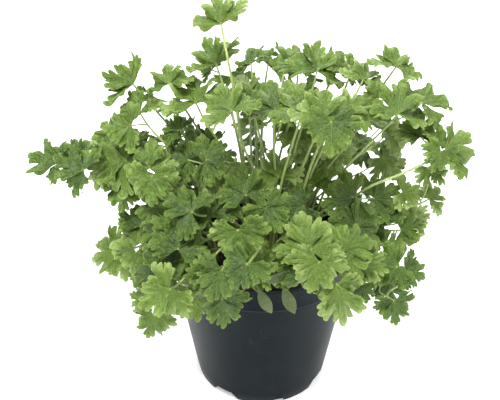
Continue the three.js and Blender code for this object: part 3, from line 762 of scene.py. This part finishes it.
def dressFrond(name, number):
    draw = random.Random(1000 + number)
    solid = welded(name)
    fans = readFans(solid)
    centres, parent, hubs = readStalks(solid, fans)
    pieces = [makeStalks(stalkPaths(centres, parent, hubs))]
    tone = frondLightTone(name, fans[0]["base"], draw)
    for fan, hub in zip(fans, hubs):
        fan["mouth"] = centres[hub].lerp(fan["mouth"], 0.5)
        shape = draw.choice(variants[fan["style"]])
        pieces.append(layLeaflet(fan, shape, tone + draw.uniform(-1, 1) * canopy["jitter"]))
    solid.free()
    piece = joined(pieces, name + "_leaf")
    if "seed" in name:
        giveMaterials(piece.data, [seedLeaf])
    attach(piece, "root")
    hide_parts(name)
    return len(fans)


leafNodes = sorted(name for name in cadNodes if name not in ("pot", "soil"))
count = sum(dressFrond(name, number) for number, name in enumerate(leafNodes))
print("fronds dressed:", len(leafNodes), "with", count, "leaflets")


# Leaves that the solids leave out, between the fronds and behind them, each on a stalk of its own

innerForm = {
    "stalk": 0.34,
    "blade": 0.66,
    "side": 0.92,
    "sideAngle": 88,
    "pitch": -8,
    "roll": 18,
    "rootShare": 0.34,
    "rootScatter": 7,
    "rootHeight": 84,
    "perPiece": 6,
    # painted shade: inner leaves get dark tones, and those further back than farDepth are painted lighter
    "tone": (0.08, 0.34),
    "toneStray": 0.08,
    "farPaintedLight": 0.34,
    "farDepth": -10,
    "angleStray": 10,
    "pitchStray": (-14, 10),
    "rollStray": 8,
    "halfAngleStray": (0.85, 1.05),
    "droop": (0.06, 0.24),
    "fold": (0.12, 0.3),
    "stalkStraight": 10,
    "stalkRise": 0.45,
    "stalkDrop": 0.2,
    "stalkReach": 0.3,
    "stalkKnots": 5,
    "stalkWidth": 0.8,
}


def threeLeaflets(hub, forward, normal, span, draw):
    left = normal.cross(forward)
    angleStray, rollStray = innerForm["angleStray"], innerForm["rollStray"]
    fans = []
    for side in (0, 1, -1):
        angle = math.radians(side * innerForm["sideAngle"] + draw.uniform(-angleStray, angleStray))
        length = span * (1 if side == 0 else innerForm["side"])
        way = forward * math.cos(angle) + left * math.sin(angle)
        across = normal.cross(way)
        pitch = math.radians(innerForm["pitch"] + draw.uniform(*innerForm["pitchStray"]))
        roll = math.radians(side * innerForm["roll"] + draw.uniform(-rollStray, rollStray))
        ahead = way * math.cos(pitch) + normal * math.sin(pitch)
        upper = ahead.cross(across)
        leftward = across * math.cos(roll) + upper * math.sin(roll)
        fans.append({
            "style": "lobed",
            "base": hub + way * innerForm["stalk"] * length,
            "forward": ahead,
            "left": leftward,
            "normal": ahead.cross(leftward),
            "reach": innerForm["blade"] * length,
            "halfAngle": bladeForm["solidHalfAngle"] * draw.uniform(*innerForm["halfAngleStray"]),
            "droop": draw.uniform(*innerForm["droop"]),
            "fold": draw.uniform(*innerForm["fold"]),
            "mouth": hub,
        })
    return fans


# The stalk rises from the soil and bends over to the leaf
def innerStalk(hub, draw):
    scatter = innerForm["rootScatter"] * mm
    away = Vector((hub.x - potAxis.x, hub.y - potAxis.y, 0)) * innerForm["rootShare"]
    root = potAxis + away + Vector((draw.uniform(-1, 1) * scatter, draw.uniform(-1, 1) * scatter,
                                    innerForm["rootHeight"] * mm))
    length = (hub - root).length
    outward = Vector((hub.x - root.x, hub.y - root.y, 0))
    rise = innerForm["stalkRise"] * length + innerForm["stalkStraight"] * mm
    above = root + Vector((0, 0, rise))
    drop = Vector((0, 0, innerForm["stalkDrop"] * length))
    before = hub - outward * innerForm["stalkReach"] - drop
    foot, top = (stalkForm[end] * innerForm["stalkWidth"] for end in ("foot", "top"))
    path = []
    for i in range(innerForm["stalkKnots"] + 1):
        share = i / innerForm["stalkKnots"]
        rest = 1 - share
        place = (root * rest ** 3 + above * 3 * rest ** 2 * share + before * 3 * rest * share ** 2
                 + hub * share ** 3)
        path.append((place, foot * rest + top * share))
    return path


def innerLeaf(hub, forward, normal, span, tone, draw):
    fans = threeLeaflets(hub, forward, normal, span, draw)
    stray = innerForm["toneStray"]
    leaves = [layLeaflet(fan, draw.choice(variants["lobed"]), tone + draw.uniform(-stray, stray))
              for fan in fans]
    return leaves, innerStalk(hub, draw)


# Where a point seen at a pixel lies when it is so deep, as y in millimetres from the pot's axis
def seenAt(px, py, depth):
    across = (px - view["width"] / 2) / view["focal"]
    upward = (view["height"] / 2 - py) / view["focal"]
    sine, cosine = math.sin(view["pitch"]), math.cos(view["pitch"])
    ray = Vector((across, cosine + upward * sine, upward * cosine - sine))
    return view["place"] + ray * ((depth * mm + potAxis.y - view["place"].y) / ray.y), ray


# Seen between the front fronds: pixel of the hub, depth, the way that the middle leaflet points in the
# picture, how far the face leans from level to the front, and span
frontInner = [
    (250, 124, 34, 80, 36, 12), (298, 130, 22, 255, 40, 16), (368, 116, 26, 60, 34, 16),
    (388, 134, 28, 20, 30, 16), (310, 152, 12, 120, 40, 16), (331, 152, 16, 290, 44, 15),
    (356, 148, 34, 100, 34, 15), (383, 158, 22, 330, 36, 16), (258, 160, 34, 200, 30, 11),
    (254, 146, 44, 60, 30, 10), (214, 168, 4, 240, 42, 18),
    (278, 178, -8, 110, 44, 17), (314, 186, 0, 95, 44, 18), (304, 206, -22, 200, 48, 15),
    (186, 186, 10, 140, 40, 18), (196, 200, -6, 250, 46, 17),
    (214, 214, -28, 100, 46, 17), (356, 226, -28, 60, 50, 17),
    (384, 226, -14, 140, 50, 16), (248, 92, 10, 110, 36, 15), (288, 100, 6, 80, 36, 16),
    (214, 276, -60, 255, 64, 15), (241, 283, -66, 100, 60, 15),
    (257, 272, -62, 60, 56, 13), (276, 260, -54, 250, 56, 15),
    (302, 278, -68, 70, 62, 13), (150, 284, -38, 120, 56, 15),
    (168, 262, -44, 60, 52, 16), (140, 226, -14, 60, 46, 15), (176, 232, -34, 120, 48, 17),
    (366, 268, -46, 60, 56, 15), (384, 280, -32, 300, 62, 14), (412, 218, 6, 40, 44, 14),
    (330, 262, -60, 110, 56, 14), (110, 152, 14, 150, 40, 15), (104, 166, 6, 250, 44, 14),
    (266, 208, -46, 300, 50, 14),
]
# Behind: height, distance from the pot's axis and number of leaves of each tier, in millimetres
backTiers = [(101, 57, 9), (112, 64, 9), (122, 70, 8), (134, 71, 8), (158, 62, 7), (180, 42, 6),
             (150, 34, 5)]
# Windows of the picture, as left, top, right and bottom, where the background shows between the stalks
windows = [(262, 112, 302, 158), (322, 158, 372, 180), (230, 112, 262, 150), (200, 108, 236, 136)]
frontForm = {"turn": 0.4, "larger": 1.15, "leastFacing": -0.2}
backForm = {
    "firstAzimuth": 96,
    "lastAzimuth": 264,
    "spread": (0.2, 0.8),
    "scatter": 8,
    "lean": (24, 52),
    "turn": 1.2,
    "span": (14, 19),
    # painted light: how much lighter the back leaves are painted than the canopy's shade tone
    "backPaintedLight": 0.12,
    "bladePixels": 22,
    "hiddenPixels": 4,
}


def frontInnerLeaf(row, draw):
    px, py, depth, tip, lean, span = row
    hub, ray = seenAt(px, py, depth)
    lean, tip = math.radians(lean), math.radians(tip)
    turn = draw.uniform(-frontForm["turn"], frontForm["turn"])
    level = Vector((math.sin(turn), -math.cos(turn), 0))
    normal = level * math.sin(lean) + Vector((0, 0, math.cos(lean)))
    sightUp = Vector((0, math.sin(view["pitch"]), math.cos(view["pitch"])))
    seen = Vector((1, 0, 0)) * math.cos(tip) + sightUp * math.sin(tip)
    forward = seen - ray * (seen.dot(normal) / min(ray.dot(normal), frontForm["leastFacing"]))
    forward = (forward - normal * forward.dot(normal)).normalized()
    # Painted light and shade: dark tones for leaves deep between the fronds, lighter ones further back
    tone = draw.uniform(*innerForm["tone"])
    if depth > innerForm["farDepth"]:
        tone += innerForm["farPaintedLight"]
    return innerLeaf(hub, forward, normal, frontForm["larger"] * span * mm, tone, draw)


def seenPixel(point):
    away = point - view["place"]
    sine, cosine = math.sin(view["pitch"]), math.cos(view["pitch"])
    depth = away.y * cosine - away.z * sine
    rise = away.y * sine + away.z * cosine
    return (view["width"] / 2 + view["focal"] * away.x / depth,
            view["height"] / 2 - view["focal"] * rise / depth)


# Whether a leaf there would show in a window: its blades reach bladePixels from its hub, and what hangs
# more than hiddenPixels below a window is hidden by the leaves in front
def inWindow(point):
    px, py = seenPixel(point)
    blades, below = backForm["bladePixels"], backForm["hiddenPixels"]
    return any(left - blades < px < right + blades and top - blades < py < bottom + below
               for left, top, right, bottom in windows)


def backLeaf(azimuth, height, radius, draw):
    scatter = backForm["scatter"]
    radius += draw.uniform(-scatter, scatter)
    height += draw.uniform(-scatter, scatter)
    outward = Vector((math.sin(azimuth), -math.cos(azimuth), 0))
    hub = potAxis + outward * radius * mm + Vector((0, 0, height * mm))
    if inWindow(hub):
        return None
    lean = math.radians(draw.uniform(*backForm["lean"]))
    normal = outward * math.sin(lean) + Vector((0, 0, math.cos(lean)))
    ahead = outward * math.cos(lean) - Vector((0, 0, math.sin(lean)))
    aside = normal.cross(ahead)
    turn = draw.uniform(-backForm["turn"], backForm["turn"])
    forward = ahead * math.cos(turn) + aside * math.sin(turn)
    span = draw.uniform(*backForm["span"]) * mm
    # The back leaves' tone: painted shade from the canopy, painted lighter by the back form's share
    return innerLeaf(hub, forward, normal, span, shadeToneAt(hub, draw) + backForm["backPaintedLight"], draw)


def makeInnerLeaves():
    draw = random.Random(55)
    grown = [frontInnerLeaf(row, draw) for row in frontInner]
    first, last = backForm["firstAzimuth"], backForm["lastAzimuth"]
    for height, radius, leaves in backTiers:
        for i in range(leaves):
            share = (i + draw.uniform(*backForm["spread"])) / leaves
            azimuth = math.radians(first + share * (last - first))
            grown.append(backLeaf(azimuth, height, radius, draw))
    grown = [leaf for leaf in grown if leaf]
    perPiece = innerForm["perPiece"]
    for first in range(0, len(grown), perPiece):
        group = grown[first:first + perPiece]
        parts = [makeStalks([path for _, path in group])]
        for leaves, _ in group:
            parts += leaves
        piece = joined(parts, f"inner_leaves_{first // perPiece + 1:02d}")
        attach(piece, "root")
    return len(grown)


print("inner leaves made:", makeInnerLeaves())
for shapes in variants.values():
    for shape in shapes:
        bpy.data.objects.remove(shape)


# Pot: the profile of the solid with rounded rims, in millimetres as (radius, height)

pot = {
    "sides": 128,
    "height": 98,
    "rim": 60,
    "foot": 43.5,
    "collarFoot": 83,
    "collarStep": 1.1,
    "wall": 1.5,
    "floor": 6,
    "floorThickness": 1.8,
    "edge": 0.5,
    "smoothAngle": math.radians(40),
}


def outerRadius(height):
    return pot["foot"] + (pot["rim"] - pot["collarStep"] - pot["foot"]) / pot["height"] * height


def potProfile():
    wall, edge, top = pot["wall"], pot["edge"], pot["height"]
    collar, lip = pot["collarFoot"], pot["collarStep"]
    floorTop = pot["floor"] + pot["floorThickness"]

    def inner(height):
        return outerRadius(height) - wall

    return [
        (inner(pot["floor"]) - 0.6, pot["floor"]),
        (inner(pot["floor"]), pot["floor"] - 0.6),
        (inner(0) + 0.2, 0.3),
        (inner(0) + 0.5, 0),
        (outerRadius(0) - edge, 0),
        (outerRadius(0) - 0.1, edge),
        (outerRadius(8), 8),
        (outerRadius(40), 40),
        (outerRadius(collar - 1.6), collar - 1.6),
        (outerRadius(collar - 0.9) + 0.12, collar - 0.9),
        (outerRadius(collar) + lip - 0.35, collar - 0.35),
        (outerRadius(collar) + lip, collar + 0.2),
        (outerRadius(collar) + lip, collar + 0.9),
        (outerRadius(top - 2) + lip, top - 2),
        (pot["rim"], top - 1),
        (pot["rim"] - 0.15, top - 0.4),
        (pot["rim"] - 0.55, top),
        (pot["rim"] - wall + 0.2, top),
        (pot["rim"] - wall - 0.1, top - 0.5),
        (inner(collar) + lip, collar + 1),
        (inner(collar), collar - 1),
        (inner(floorTop + 1), floorTop + 1),
        (inner(floorTop) - 1, floorTop),
    ]


# Rings pulled out one after another, from the floor's underside over the rim to the floor's top
def lathe(name, profile, sides):
    radius, height = profile[0]
    bpy.ops.mesh.primitive_circle_add(vertices=sides, radius=radius * mm,
                                      location=(potAxis.x, potAxis.y, height * mm))
    obj = bpy.context.object
    obj.name = name
    bpy.ops.object.transform_apply(location=True, rotation=True, scale=True)
    bpy.ops.object.mode_set(mode="EDIT")
    bpy.ops.mesh.select_all(action="SELECT")
    for (lastRadius, lastHeight), (radius, height) in zip(profile, profile[1:]):
        rise = (height - lastHeight) * mm
        bpy.ops.mesh.extrude_region_move(TRANSFORM_OT_translate={"value": (0, 0, rise)})
        share = radius / lastRadius
        centre = (potAxis.x, potAxis.y, height * mm)
        bpy.ops.transform.resize(value=(share, share, 1), center_override=centre)
    bpy.ops.mesh.edge_face_add()
    bpy.ops.mesh.select_all(action="DESELECT")
    bpy.ops.mesh.select_non_manifold()
    bpy.ops.mesh.edge_face_add()
    bpy.ops.mesh.select_all(action="SELECT")
    bpy.ops.mesh.normals_make_consistent(inside=False)
    bpy.ops.object.mode_set(mode="OBJECT")
    return obj


# The blocks that cut large and small notches through the foot ring, and slots through the floor beside
# the large ones: angle of the first of four, place and length along the radius, half widths at the
# bottom and the top, and heights of the bottom and the top
drain = {
    "largeNotch": (-33, pot["foot"], 12, (10.4, 5.3), (-1, 5)),
    "smallNotch": (14, pot["foot"], 12, (3.8, 3), (-1, 2.6)),
    "slot": (-33, 35, 6, (4.5, 4.5), (pot["floor"] - 2, pot["floor"] + pot["floorThickness"] + 2)),
}


def cutBlock(angle, radius, length, half, heights):
    bpy.ops.mesh.primitive_cube_add(size=1)
    block = bpy.context.object
    points = readPoints(block.data)
    high = points[:, 2] > 0
    points[:, 0] = radius + points[:, 0] * length
    points[:, 1] *= 2 * np.where(high, half[1], half[0])
    points[:, 2] = np.where(high, heights[1], heights[0])
    turn = math.radians(angle - 90)
    x = points[:, 0] * math.cos(turn) - points[:, 1] * math.sin(turn)
    y = points[:, 0] * math.sin(turn) + points[:, 1] * math.cos(turn)
    writePoints(block.data, np.stack([x, y, points[:, 2]], 1) * mm + np.array(potAxis))
    return block


def makePot():
    obj = lathe("pot_body", potProfile(), pot["sides"])
    for turn in (0, 90, 180, 270):
        for angle, *size in drain.values():
            cutter = cutBlock(angle + turn, *size)
            applyModifier(obj, "BOOLEAN", operation="DIFFERENCE", object=cutter, solver="EXACT")
            bpy.data.objects.remove(cutter)
    activate(obj)
    bpy.ops.object.shade_smooth_by_angle(angle=pot["smoothAngle"])
    return obj


potLook = {
    "dustScale": 55,
    "shades": [(0.3, linear(2, 8, 12)), (0.55, linear(4, 12, 16)), (0.8, linear(12, 20, 24))],
    "scuffScale": 240,
    "scuffStretch": (1, 1, 0.35),
    "scuffStart": (0.62, 0.78),
    "scuffShare": 0.12,
    "scuffColour": linear(70, 76, 76),
    "rimStart": (0.0966, 0.0979),
    "rimShare": 0.35,
    "rimColour": linear(80, 88, 90),
    "grainScale": 2600,
    "grainHeight": 0.6,
    "ringScale": 5200,
    "ringHeight": 0.08,
    "shader": {"Specular IOR Level": 0.06, "Specular Tint": (0.8, 0.98, 1, 1)},
    "roughness": (0.28, 0.42),
    "bump": 0.0002,
}


def potMaterial():
    nodes = Nodes("slate plastic")
    place = nodes.add("TexCoord").outputs["Object"]
    height = nodes.add("SeparateXYZ", {"Vector": place}).outputs["Z"]
    grain = nodes.noise(potLook["grainScale"], 2)
    dust = nodes.noise(potLook["dustScale"], 6)
    scuffs = nodes.noise(potLook["scuffScale"], 5, potLook["scuffStretch"])
    rings = nodes.math("SINE", nodes.math("MULTIPLY", height, potLook["ringScale"]))
    scuffs = nodes.between(scuffs, *potLook["scuffStart"])
    scuffed = nodes.math("MULTIPLY", scuffs, potLook["scuffShare"])
    colour = nodes.blend(scuffed, nodes.ramp(dust, potLook["shades"]), potLook["scuffColour"])
    rim = nodes.math("MULTIPLY", nodes.between(height, *potLook["rimStart"]), potLook["rimShare"])
    colour = nodes.blend(rim, colour, potLook["rimColour"])
    nodes.shade(potLook["shader"])
    roughness = nodes.math("ADD", nodes.scaled(dust, *potLook["roughness"]), scuffed)
    relief = nodes.math("ADD", nodes.math("MULTIPLY", grain, potLook["grainHeight"]),
                        nodes.math("MULTIPLY", rings, potLook["ringHeight"]))
    return nodes.finish(colour, roughness, relief, potLook["bump"])


potPiece = makePot()
giveMaterials(potPiece.data, [potMaterial()])
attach(potPiece, "root")
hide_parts("pot")
print("pot made")


# Soil: a crumbly disc that fills the pot, with loose crumbs pressed into it

soil = {
    "radius": 56.4,
    "bottomRadius": 43,
    "top": 88,
    "crown": 2,
    "bottom": 8.4,
    "cuts": 110,
    "lumps": 1.2,
    "lumpScale": 0.16,
    "lumpDetail": (0.8, 2.2, 4),
    "grainScale": 0.42,
    "level": 12,
    "sunk": 1,
    "tone": 0.3,
    "smoothAngle": math.radians(50),
}
crumb = {
    "count": 260,
    "size": (0.8, 2.3),
    "uneven": 0.3,
    "across": (0.6, 1.3),
    "up": (0.4, 0.7),
    "fromWall": 3,
    "sunk": 0.8,
    "tones": [0.15, 0.35, 0.5, 0.62, 0.95],
}


def makeSoil():
    bpy.ops.mesh.primitive_grid_add(x_subdivisions=soil["cuts"], y_subdivisions=soil["cuts"], size=2)
    obj = bpy.context.object
    points = readPoints(obj.data)
    squareX = points[:, 0].copy()
    squareY = points[:, 1].copy()
    points[:, 0] = squareX * np.sqrt(1 - squareY ** 2 / 2) * soil["radius"]
    points[:, 1] = squareY * np.sqrt(1 - squareX ** 2 / 2) * soil["radius"]
    top = soil["top"] - soil["sunk"]
    for point in points:
        inward = 1 - math.hypot(point[0], point[1]) / soil["radius"]
        spot = Vector((point[0], point[1], 0))
        lumps = noise.fractal(spot * soil["lumpScale"], *soil["lumpDetail"]) * soil["lumps"]
        grains = noise.voronoi(spot * soil["grainScale"])[0][0] * soil["lumps"]
        point[2] = top + soil["crown"] * inward + (lumps - grains) * min(1, soil["level"] * inward)
    writePoints(obj.data, points * mm + np.array(potAxis))
    activate(obj)
    bpy.ops.object.mode_set(mode="EDIT")
    bpy.ops.mesh.select_all(action="DESELECT")
    bpy.ops.mesh.select_non_manifold()
    bpy.ops.mesh.extrude_region_move(
        TRANSFORM_OT_translate={"value": (0, 0, (soil["bottom"] - top) * mm)})
    share = soil["bottomRadius"] / soil["radius"]
    centre = (potAxis.x, potAxis.y, soil["bottom"] * mm)
    bpy.ops.transform.resize(value=(share, share, 1), center_override=centre)
    bpy.ops.mesh.edge_face_add()
    bpy.ops.mesh.select_all(action="SELECT")
    bpy.ops.mesh.normals_make_consistent(inside=False)
    bpy.ops.object.mode_set(mode="OBJECT")
    bpy.ops.object.shade_smooth_by_angle(angle=soil["smoothAngle"])
    setTone(obj.data, soil["tone"])
    return obj


def makeCrumbs(draw):
    crumbs = []
    for _ in range(crumb["count"]):
        bpy.ops.mesh.primitive_ico_sphere_add(subdivisions=1, radius=1)
        obj = bpy.context.object
        points = readPoints(obj.data)
        size = draw.uniform(*crumb["size"])
        for point in points:
            point *= 1 + draw.uniform(-crumb["uneven"], crumb["uneven"])
        stretch = np.array([draw.uniform(*crumb[way]) for way in ("across", "across", "up")])
        radius = (soil["radius"] - crumb["fromWall"]) * math.sqrt(draw.random())
        angle = draw.uniform(0, 2 * math.pi)
        top = soil["top"] - crumb["sunk"] + soil["crown"] * (1 - radius / soil["radius"])
        place = np.array([radius * math.cos(angle), radius * math.sin(angle), top])
        writePoints(obj.data, (points * stretch * size + place) * mm + np.array(potAxis))
        setTone(obj.data, draw.choice(crumb["tones"]))
        crumbs.append(obj)
    return crumbs


soilLook = {
    "toneShare": 0.6,
    "grainScale": 420,
    "grainTone": (-0.1, 0.4),
    "shades": [(0.1, linear(20, 15, 11)), (0.4, linear(44, 33, 24)), (0.65, linear(78, 60, 42)),
               (0.9, linear(120, 98, 70))],
    "dampScale": 90,
    "dampStart": (0.5, 0.7),
    "dampColour": linear(26, 19, 14),
    "roughness": (0.75, 0.98),
    "bump": 0.0012,
}


def soilMaterial():
    nodes = Nodes("potting soil")
    tone = nodes.add("Attribute", attribute_name="tone").outputs["Fac"]
    grain = nodes.noise(soilLook["grainScale"], 6)
    damp = nodes.noise(soilLook["dampScale"], 4)
    tone = nodes.math("ADD", nodes.math("MULTIPLY", tone, soilLook["toneShare"]),
                      nodes.scaled(grain, *soilLook["grainTone"]))
    colour = nodes.blend(nodes.between(damp, *soilLook["dampStart"]),
                         nodes.ramp(tone, soilLook["shades"]), soilLook["dampColour"])
    return nodes.finish(colour, nodes.scaled(damp, *soilLook["roughness"]), grain, soilLook["bump"])


soilPiece = joined([makeSoil()] + makeCrumbs(random.Random(31)), "soil_body")
giveMaterials(soilPiece.data, [soilMaterial()])
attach(soilPiece, "root")
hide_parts("soil")
print("soil made")


# Stage: pale floor, soft light, and the camera at the photograph's viewing angle

stage = {
    "floorSize": 8,
    "floor": {
        "Base Color": (0.9, 0.9, 0.9, 1),
        "Roughness": 0.9,
        "Specular IOR Level": 0.1,
        "Emission Color": (1, 1, 1, 1),
        "Emission Strength": 0.3,
    },
    "sky": 0.7,
    "lightTarget": Vector((0, 0, 0.12)),
    # place in metres, width and power
    "lights": {
        "key light": ((-0.5, -0.5, 1.7), 0.6, 50),
        "front light": ((-0.3, -1.4, 0.6), 1.4, 6),
        "fill light": ((1.2, -0.6, 1.1), 1.2, 14),
        "back light": ((0.2, 0.9, 1.5), 1.2, 26),
    },
}


def makeFloor():
    bpy.ops.mesh.primitive_plane_add(size=stage["floorSize"])
    floor = bpy.context.object
    floor.name = "floor"
    nodes = Nodes("pale floor")
    nodes.shade(stage["floor"])
    giveMaterials(floor.data, [nodes.material])
    floor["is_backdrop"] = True


def makeLight(name, place, size, power):
    bpy.ops.object.light_add(type="AREA", location=place)
    light = bpy.context.object
    light.name = name
    light.data.shape = "DISK"
    light.data.size = size
    light.data.energy = power
    aim = stage["lightTarget"] - Vector(place)
    light.rotation_euler = aim.to_track_quat("-Z", "Y").to_euler()


makeFloor()
for lightName, (place, size, power) in stage["lights"].items():
    makeLight(lightName, place, size, power)
world = bpy.data.worlds.new("studio")
world.use_nodes = True
background = world.node_tree.nodes["Background"]
background.inputs["Color"].default_value = (1, 1, 1, 1)
background.inputs["Strength"].default_value = stage["sky"]
bpy.context.scene.world = world

bpy.ops.object.camera_add(location=view["place"], rotation=(math.pi / 2 - view["pitch"], 0, 0))
camera = bpy.context.object
camera.data.sensor_width = view["sensor"]
camera.data.lens = view["focal"] / view["width"] * view["sensor"]
bpy.context.scene.camera = camera
bpy.context.scene.view_settings.view_transform = "Standard"
print("stage set")

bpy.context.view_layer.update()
faces = sum(len(p.vertices) - 2 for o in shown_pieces() if o.type == "MESH" for p in o.data.polygons)
print("triangles shown:", faces)
